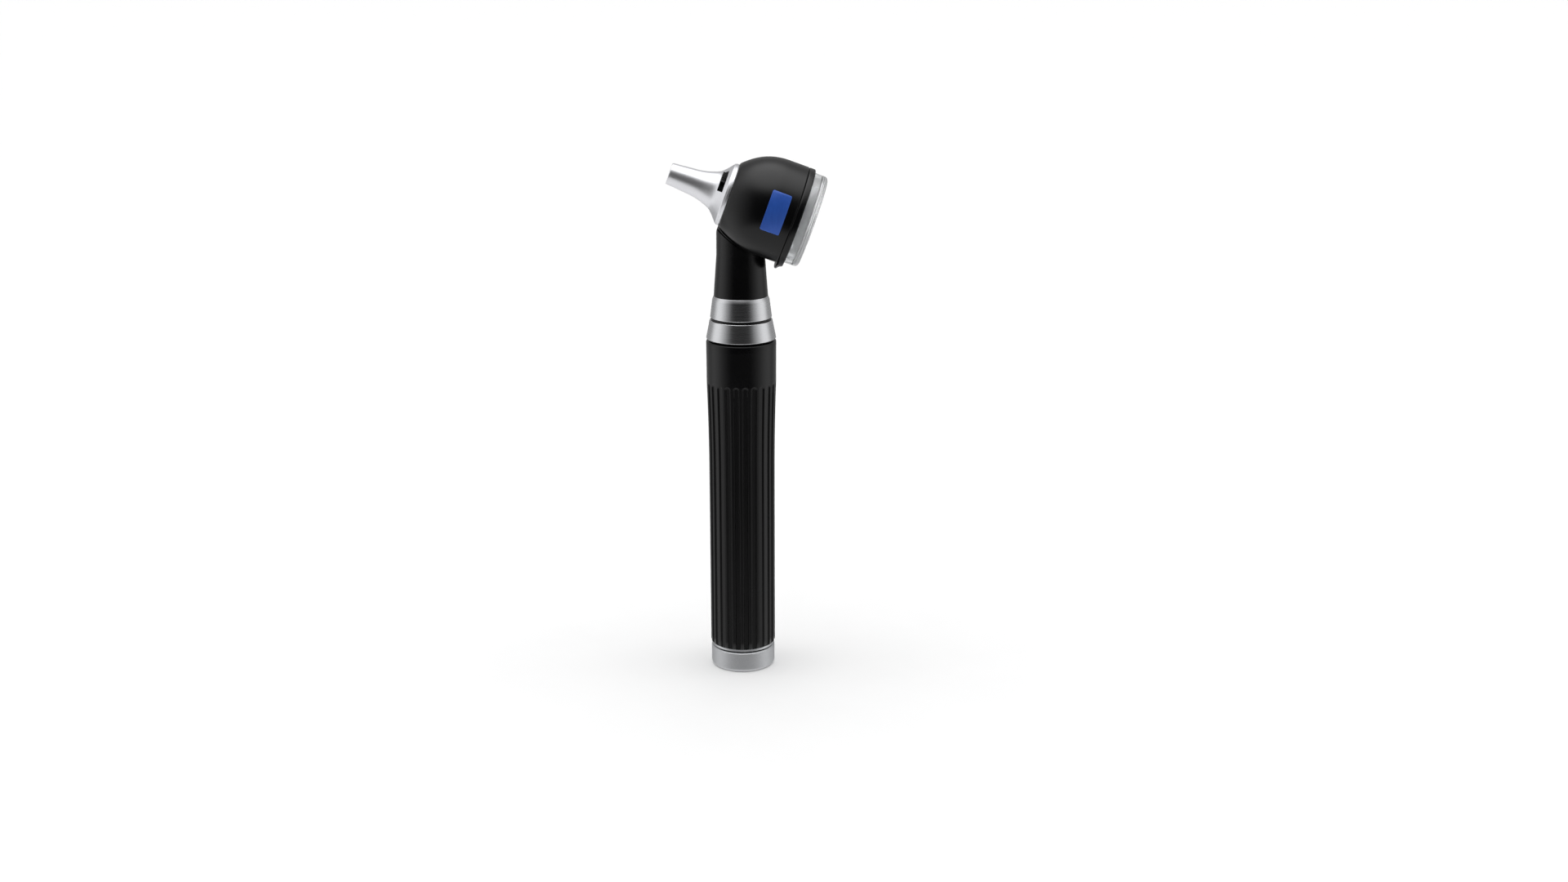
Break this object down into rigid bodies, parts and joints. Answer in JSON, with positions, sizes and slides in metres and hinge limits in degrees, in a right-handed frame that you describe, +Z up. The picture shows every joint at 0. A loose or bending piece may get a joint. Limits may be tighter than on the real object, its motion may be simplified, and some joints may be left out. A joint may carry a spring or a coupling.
{
  "type": "otoscope",
  "caption": "Battery otoscope: fluted black handle with silver rings, tilted head with metal nose cone and a swing-aside clear viewing lens.",
  "frame": {"origin": "centre of the end cap's bottom face, on the handle's axis", "axes": "+Z up along the handle, -X the way the nose points, +X towards the eye, Y across the head"},
  "size_m": [0.0519, 0.0343, 0.1734],
  "materials": {
    "black_abs": "satin moulded black",
    "black_sleeve": "satin moulded black, fluted",
    "silver_ring": "fine turned, anodised",
    "cap_metal": "matt anodised",
    "nose_metal": "satin anodised",
    "tube_metal": "drawn, plain",
    "hub_metal": "dark anodised, turned",
    "steel": "plain",
    "spring_steel": "bright wire",
    "brass": "bright",
    "insulator": "moulded natural",
    "ceramic": "unglazed",
    "cell_can": "plain sleeve",
    "rubber": "moulded black",
    "label_blue": "plain blue inlay",
    "clear_acrylic": "clear moulded",
    "bulb_glass": "clear glass",
    "fibre": "polished fibre ends"
  },
  "bodies": {
    "handle": {"battery_tube": "tube_metal", "grip_barrel": "black_sleeve", "handle_hub": "hub_metal", "hub_screws": "steel", "cell_lower": "cell_can", "cell_upper": "cell_can", "positive_plate": "brass", "contact_holder": "insulator", "resistor_disc": "ceramic", "pin_insulator": "insulator", "pin_terminal": "brass", "contact_spring": "spring_steel", "dimmer_retainer": "black_abs", "spring_seat": "steel", "battery_spring": "spring_steel"},
    "cap_travel": {"cap_seal": "rubber"},
    "end_cap": {"end_cap": "cap_metal"},
    "dimmer": {"dimmer_ring": "silver_ring", "dimmer_drive_pin": "steel", "dimmer_rotor": "insulator", "dimmer_wiper": "brass"},
    "contact_pin": {"contact_pin": "brass"},
    "head": {"head_collar": "silver_ring", "collar_screws": "steel", "lamp_sleeve": "tube_metal", "lamp_base": "brass", "lamp_bulb": "bulb_glass", "lamp_insulator": "insulator", "lamp_contact": "brass", "neck_shell": "black_abs", "head_shell": "black_abs", "fibre_bundle": "fibre", "rear_seal": "rubber", "side_label": "label_blue", "nose_screws": "steel", "nose_flange": "nose_metal", "nose_cone": "nose_metal", "lock_bush": "brass", "sight_tube": "steel", "fibre_sleeve": "fibre", "fibre_ferrule": "tube_metal"},
    "speculum_lock": {"lock_ring": "steel", "lock_knob": "black_abs"},
    "lens": {"lens_frame": "black_abs", "lens_ring": "clear_acrylic", "viewing_lens": "clear_acrylic", "pivot_pin": "steel", "pivot_clip": "spring_steel", "pivot_washer": "steel"}
  },
  "joints": [
    {"name": "cap_unscrew_travel", "type": "slide", "parent": "handle", "child": "cap_travel", "axis": [0, 0, -1], "range_m": [0, 0.00376], "deforming": ["battery_spring"]},
    {"name": "cap_unscrew", "type": "hinge", "parent": "cap_travel", "child": "end_cap", "pos_m": [0, 0, 0], "axis": [0, 0, -1], "range_deg": [0, 1800]},
    {"name": "dimmer_turn", "type": "hinge", "parent": "handle", "child": "dimmer", "pos_m": [0, 0, 0.117], "axis": [0, 0, 1], "range_deg": [0, 110]},
    {"name": "contact_pin_press", "type": "slide", "parent": "handle", "child": "contact_pin", "axis": [0, 0, -1], "range_m": [0, 0.0015], "stiffness_N_per_m": 250, "springref_m": -0.002, "deforming": ["contact_spring"]},
    {"name": "head_twist", "type": "hinge", "parent": "handle", "child": "head", "pos_m": [0, 0, 0.1207], "axis": [0, 0, 1], "range_deg": [0, 30]},
    {"name": "speculum_lock_turn", "type": "hinge", "parent": "head", "child": "speculum_lock", "pos_m": [-0.00677, 0, 0.16226], "axis": [0.9397, 0, -0.342], "range_deg": [0, 24]},
    {"name": "lens_swing", "type": "hinge", "parent": "head", "child": "lens", "pos_m": [0.02109, 0, 0.16628], "axis": [0.9397, 0, -0.342], "range_deg": [-90, 90]}
  ],
  "couplings": [
    {"joint": "cap_unscrew_travel", "follows": "cap_unscrew", "m_per_rad": 0.00011937}
  ]
}
